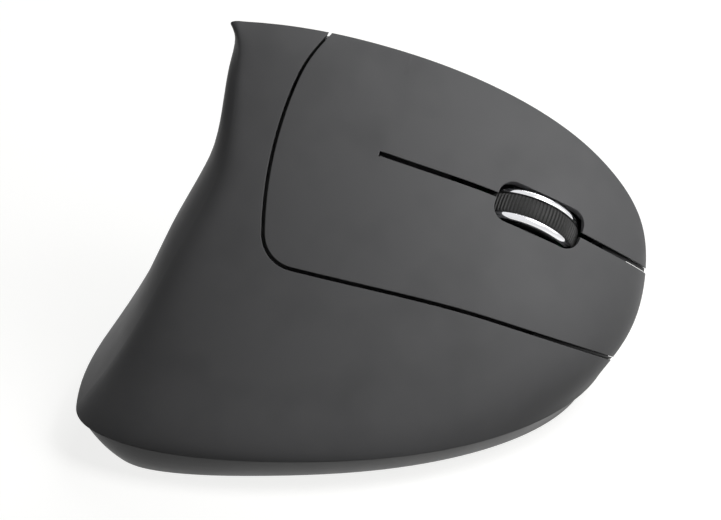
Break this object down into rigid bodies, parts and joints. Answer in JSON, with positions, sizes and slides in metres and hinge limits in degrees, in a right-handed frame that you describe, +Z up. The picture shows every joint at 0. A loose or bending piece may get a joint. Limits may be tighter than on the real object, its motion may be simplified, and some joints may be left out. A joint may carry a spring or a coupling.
{
  "type": "ergonomic mouse",
  "caption": "Vertical wireless mouse for the right hand: tall twisted charcoal shell, long sprung keys, ribbed scroll wheel with bright rims, thumb buttons, flat base.",
  "frame": {"origin": "on the desk surface under the glide feet, at the middle of the mouse in plan", "axes": "+X towards the finger side (the user's right), +Y towards the front where the fingertips rest, +Z up"},
  "size_m": [0.0774, 0.1203, 0.076],
  "materials": {
    "soft_touch": "charcoal soft-touch coating, fine satin grain",
    "side_gloss": "black, half gloss",
    "base_plastic": "charcoal moulded plastic, fine grain",
    "wheel_rubber": "black ribbed rubber",
    "bright_ring": "polished bright metal",
    "black_plastic": "black moulded plastic",
    "slider_plastic": "grey moulded plastic",
    "board_green": "green solder mask",
    "clear_lens": "clear moulded plastic",
    "ribbon_plastic": "pale flat ribbon",
    "cell_can": "plain wrapped cell",
    "contact_steel": "plated spring steel",
    "screw_steel": "dark plated steel",
    "foot_plastic": "slippery dark plastic"
  },
  "bodies": {
    "housing": {"palm_shell": "soft_touch", "thumb_shell": "soft_touch", "key_bridge": "soft_touch", "base_tray": "base_plastic", "key_board": "board_green", "thumb_board": "board_green", "main_board": "board_green", "left_switch": "black_plastic", "right_switch": "black_plastic", "middle_switch": "black_plastic", "back_switch": "black_plastic", "forward_switch": "black_plastic", "wheel_encoder": "black_plastic", "power_switch": "black_plastic", "sensor_lens": "clear_lens", "optical_sensor": "black_plastic", "sensor_led": "clear_lens", "controller_chip": "black_plastic", "ribbon_cable": "ribbon_plastic", "battery_1": "cell_can", "battery_2": "cell_can", "battery_springs": "contact_steel", "rear_contact": "contact_steel", "front_contacts": "contact_steel", "rear_foot": "foot_plastic", "front_foot": "foot_plastic", "left_foot": "foot_plastic", "right_foot": "foot_plastic", "case_screws": "screw_steel", "board_screws": "screw_steel"},
    "left_key": {"left_button": "soft_touch"},
    "right_key": {"right_button": "soft_touch"},
    "cradle": {"wheel_cradle": "black_plastic"},
    "wheel": {"wheel_hub": "black_plastic", "wheel_tyre": "wheel_rubber", "upper_ring": "bright_ring", "lower_ring": "bright_ring"},
    "back_key": {"back_button": "side_gloss"},
    "forward_key": {"forward_button": "side_gloss"},
    "door": {"battery_door": "base_plastic"},
    "slider": {"power_slider": "slider_plastic"},
    "receiver": {"receiver_cap": "black_plastic", "receiver_plug": "contact_steel"}
  },
  "joints": [
    {"name": "left_key_press", "type": "hinge", "parent": "housing", "child": "left_key", "pos_m": [-0.0053, 0.0038, 0.0552], "axis": [-0.7425, 0.283, 0.6071], "range_deg": [0, 0.8], "stiffness_Nm_per_rad": 1.7, "springref_deg": -0.23},
    {"name": "right_key_press", "type": "hinge", "parent": "housing", "child": "right_key", "pos_m": [-0.0053, 0.0038, 0.0552], "axis": [-0.6672, 0.3095, 0.6775], "range_deg": [0, 0.8], "stiffness_Nm_per_rad": 1.7, "springref_deg": -0.23},
    {"name": "wheel_press", "type": "slide", "parent": "housing", "child": "cradle", "axis": [-0.6678, -0.2592, -0.6977], "range_m": [0, 0.0005], "stiffness_N_per_m": 900, "springref_m": -0.0005},
    {"name": "wheel_spin", "type": "hinge", "parent": "cradle", "child": "wheel", "pos_m": [-0.00441, 0.03485, 0.03813], "axis": [-0.739, 0.3428, 0.58], "continuous": true},
    {"name": "back_press", "type": "slide", "parent": "housing", "child": "back_key", "axis": [0.978, -0.1996, -0.0599], "range_m": [0, 0.0006], "stiffness_N_per_m": 800, "springref_m": -0.0004},
    {"name": "forward_press", "type": "slide", "parent": "housing", "child": "forward_key", "axis": [0.978, -0.1996, -0.0599], "range_m": [0, 0.0006], "stiffness_N_per_m": 800, "springref_m": -0.0004},
    {"name": "door_swing", "type": "hinge", "parent": "housing", "child": "door", "pos_m": [0.006, 0.0143, 0.0015], "axis": [1, 0, 0], "range_deg": [0, 65]},
    {"name": "power_slide", "type": "slide", "parent": "housing", "child": "slider", "axis": [0, 1, 0], "range_m": [0, 0.003]},
    {"name": "receiver_slide", "type": "slide", "parent": "housing", "child": "receiver", "axis": [0, 0, -1], "range_m": [0, 0.018]}
  ]
}
